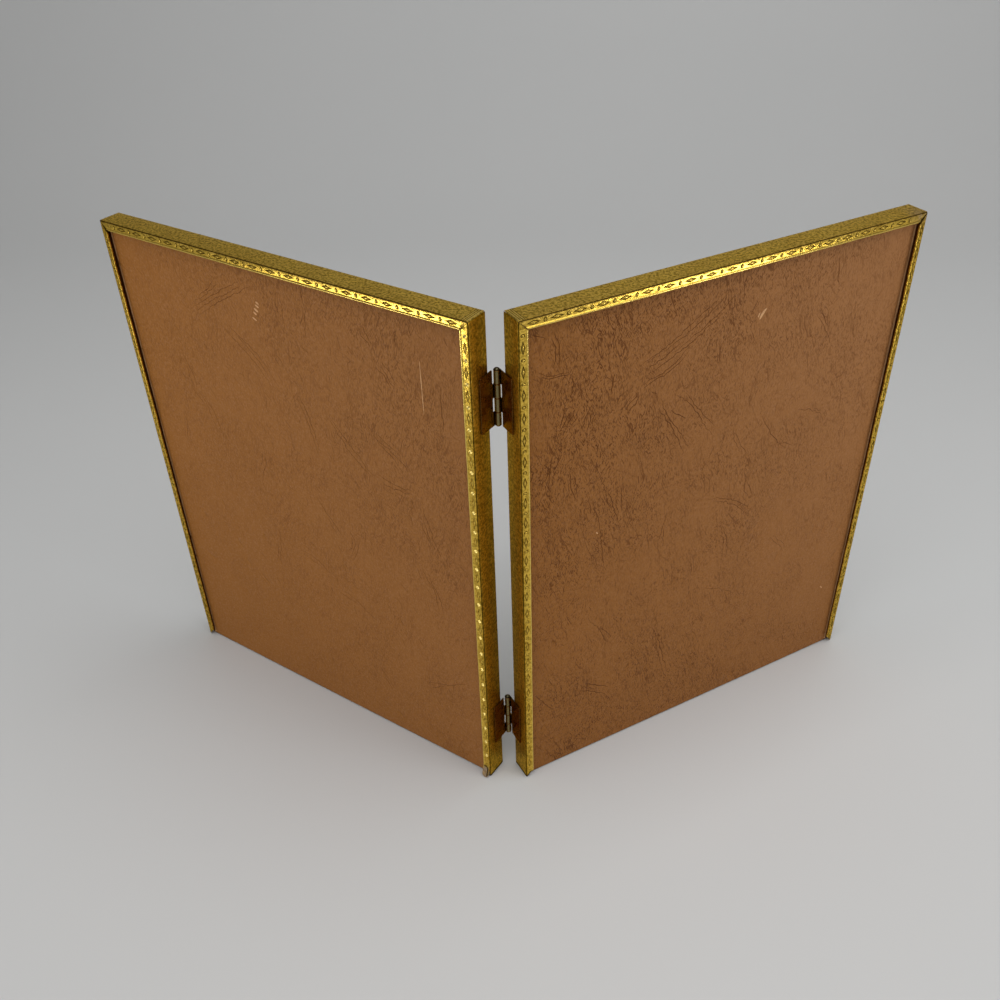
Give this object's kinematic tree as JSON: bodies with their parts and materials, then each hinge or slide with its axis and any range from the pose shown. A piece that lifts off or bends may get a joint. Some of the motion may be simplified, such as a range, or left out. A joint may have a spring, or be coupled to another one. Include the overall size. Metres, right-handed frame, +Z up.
{
  "type": "hinged double photo frame",
  "caption": "Hinged double photo frame: slim gilt metal rails hold glazed prints, fold shut like a book on butt hinges, and take leatherette backs that slide out below.",
  "frame": {"origin": "middle of the bounding box on the floor, in the standing pose", "axes": "+X to the right seen from the backs, +Y towards the pictures' side, +Z up along the hinge axis"},
  "size_m": [0.3704, 0.1166, 0.2564],
  "materials": {
    "gilt_rail": "gilt rolled sheet with an embossed border, worn",
    "dark_bronze": "dark tarnished bronze",
    "hinge_pin": "rubbed bronze",
    "tinned_steel": "dull tinned sheet",
    "clear_glass": "clear picture glass",
    "print_paper": "blank cream insert, lightly toned",
    "grey_card": "grey-brown millboard",
    "leatherette": "hide-grained brown leatherette paper"
  },
  "bodies": {
    "left_frame": {"left_hinge_rail": "gilt_rail", "left_top_rail": "gilt_rail", "left_outer_rail": "gilt_rail", "left_bottom_rail": "gilt_rail", "left_corner_keys": "tinned_steel", "left_glass": "clear_glass", "left_print": "print_paper", "left_filler_board": "grey_card", "left_upper_hinge_leaf": "dark_bronze", "left_lower_hinge_leaf": "dark_bronze", "upper_hinge_pin": "hinge_pin", "lower_hinge_pin": "hinge_pin"},
    "left_back": {"left_back_board": "grey_card", "left_back_cover": "leatherette"},
    "right_frame": {"right_hinge_rail": "gilt_rail", "right_top_rail": "gilt_rail", "right_outer_rail": "gilt_rail", "right_bottom_rail": "gilt_rail", "right_corner_keys": "tinned_steel", "right_glass": "clear_glass", "right_print": "print_paper", "right_filler_board": "grey_card", "right_upper_hinge_leaf": "dark_bronze", "right_lower_hinge_leaf": "dark_bronze"},
    "right_back": {"right_back_board": "grey_card", "right_back_cover": "leatherette"}
  },
  "joints": [
    {"name": "fold", "type": "hinge", "parent": "left_frame", "child": "right_frame", "pos_m": [0, -0.04469, 0], "axis": [0, 0, 1], "range_deg": [-62, 119.8]},
    {"name": "left_back_slide", "type": "slide", "parent": "left_frame", "child": "left_back", "axis": [0, 0, -1], "range_m": [0, 0.24]},
    {"name": "right_back_slide", "type": "slide", "parent": "right_frame", "child": "right_back", "axis": [0, 0, -1], "range_m": [0, 0.24]}
  ]
}
